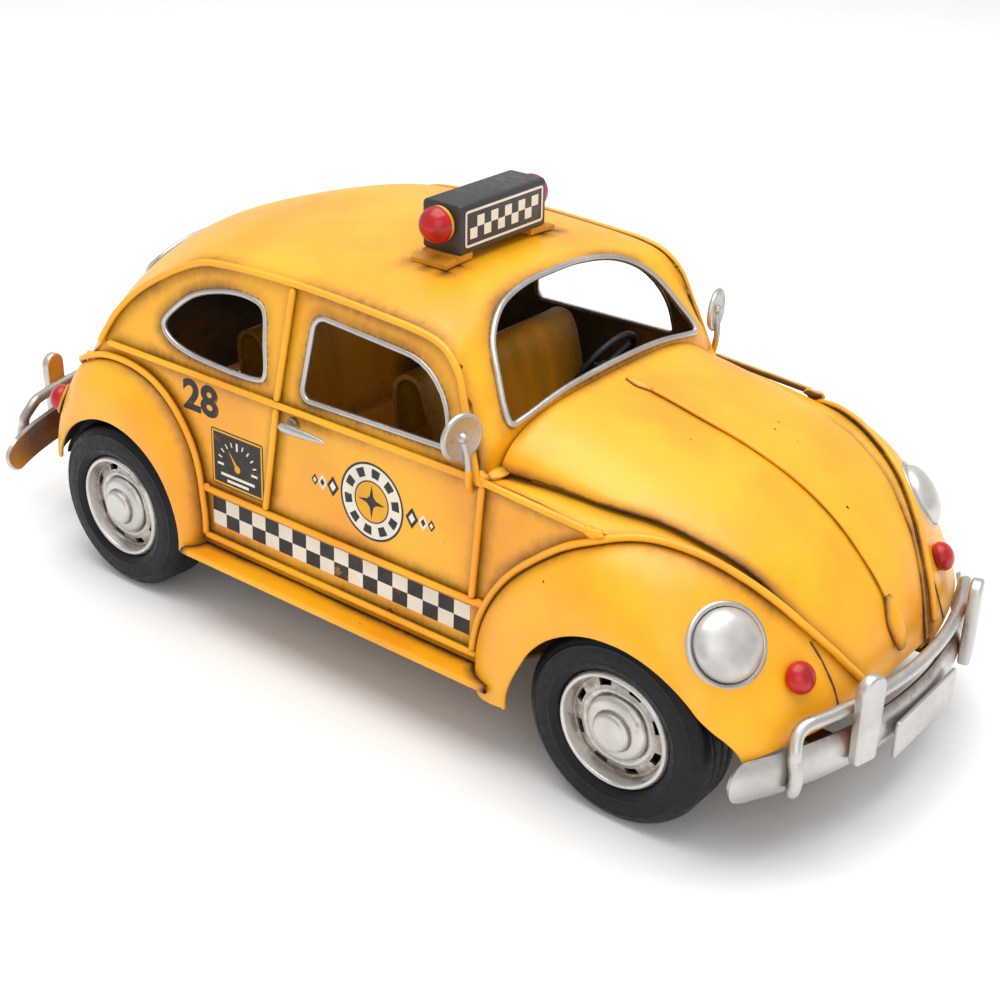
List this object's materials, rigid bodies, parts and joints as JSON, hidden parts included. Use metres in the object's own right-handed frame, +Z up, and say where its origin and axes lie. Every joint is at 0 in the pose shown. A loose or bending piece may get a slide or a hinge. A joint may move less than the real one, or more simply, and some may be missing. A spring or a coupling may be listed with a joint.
{
  "type": "toy taxi",
  "caption": "Hand-made tin toy taxi: rounded saloon body of soldered sheets with open windows, roof sign, bumpers and free-rolling wheelsets.",
  "frame": {"origin": "on the ground under the middle of the overall length, between the sides", "axes": "+X forward, +Y to the car's left, +Z up"},
  "size_m": [0.253, 0.106, 0.1076],
  "materials": {
    "yellow": "satin",
    "silver": "satin, aged",
    "rubber": "matte",
    "red_lamp": "gloss",
    "black": "satin",
    "dark_tin": "matte",
    "seat": "satin",
    "plate": "satin"
  },
  "bodies": {
    "body": {"floor_pan": "dark_tin", "side_panel_right": "yellow", "side_panel_left": "yellow", "roof_panel": "yellow", "bonnet": "yellow", "cowl_strip_right": "yellow", "cowl_strip_left": "yellow", "front_wing_right": "yellow", "front_wing_left": "yellow", "rear_wing_right": "yellow", "rear_wing_left": "yellow", "running_board_right": "yellow", "running_board_left": "yellow", "windscreen_frame": "silver", "rear_window_frame": "silver", "door_window_frame_right": "silver", "door_window_frame_left": "silver", "quarter_window_frame_right": "silver", "quarter_window_frame_left": "silver", "side_beads_right": "yellow", "side_beads_left": "yellow", "roof_bead_right": "yellow", "roof_bead_left": "yellow", "wing_beads_right": "yellow", "wing_beads_left": "yellow", "bonnet_ridge": "yellow", "bonnet_handle": "yellow", "door_handles": "silver", "mirror_right": "silver", "mirror_left": "silver", "headlight_right": "silver", "headlight_left": "silver", "headlight_rings": "silver", "front_lamps": "red_lamp", "tail_lamps": "red_lamp", "front_blade": "silver", "front_guard_tube": "silver", "front_guards": "silver", "front_plate": "plate", "rear_blade": "silver", "rear_guard_tube": "silver", "rear_guards": "silver", "bumper_irons": "dark_tin", "sign_box": "black", "sign_feet": "yellow", "sign_lamps": "red_lamp", "front_seat": "seat", "rear_seat": "seat", "dashboard": "dark_tin", "steering_wheel": "black"},
    "front_wheelset": {"front_axle": "silver", "tyre_front_right": "rubber", "tyre_front_left": "rubber", "rim_front_right": "silver", "rim_front_left": "silver"},
    "rear_wheelset": {"rear_axle": "silver", "tyre_rear_right": "rubber", "tyre_rear_left": "rubber", "rim_rear_right": "silver", "rim_rear_left": "silver"}
  },
  "joints": [
    {"name": "front_wheels_roll", "type": "hinge", "parent": "body", "child": "front_wheelset", "pos_m": [0.08181, 0, 0.0216], "axis": [0, 1, 0], "continuous": true},
    {"name": "rear_wheels_roll", "type": "hinge", "parent": "body", "child": "rear_wheelset", "pos_m": [-0.06819, 0, 0.0216], "axis": [0, 1, 0], "continuous": true}
  ]
}
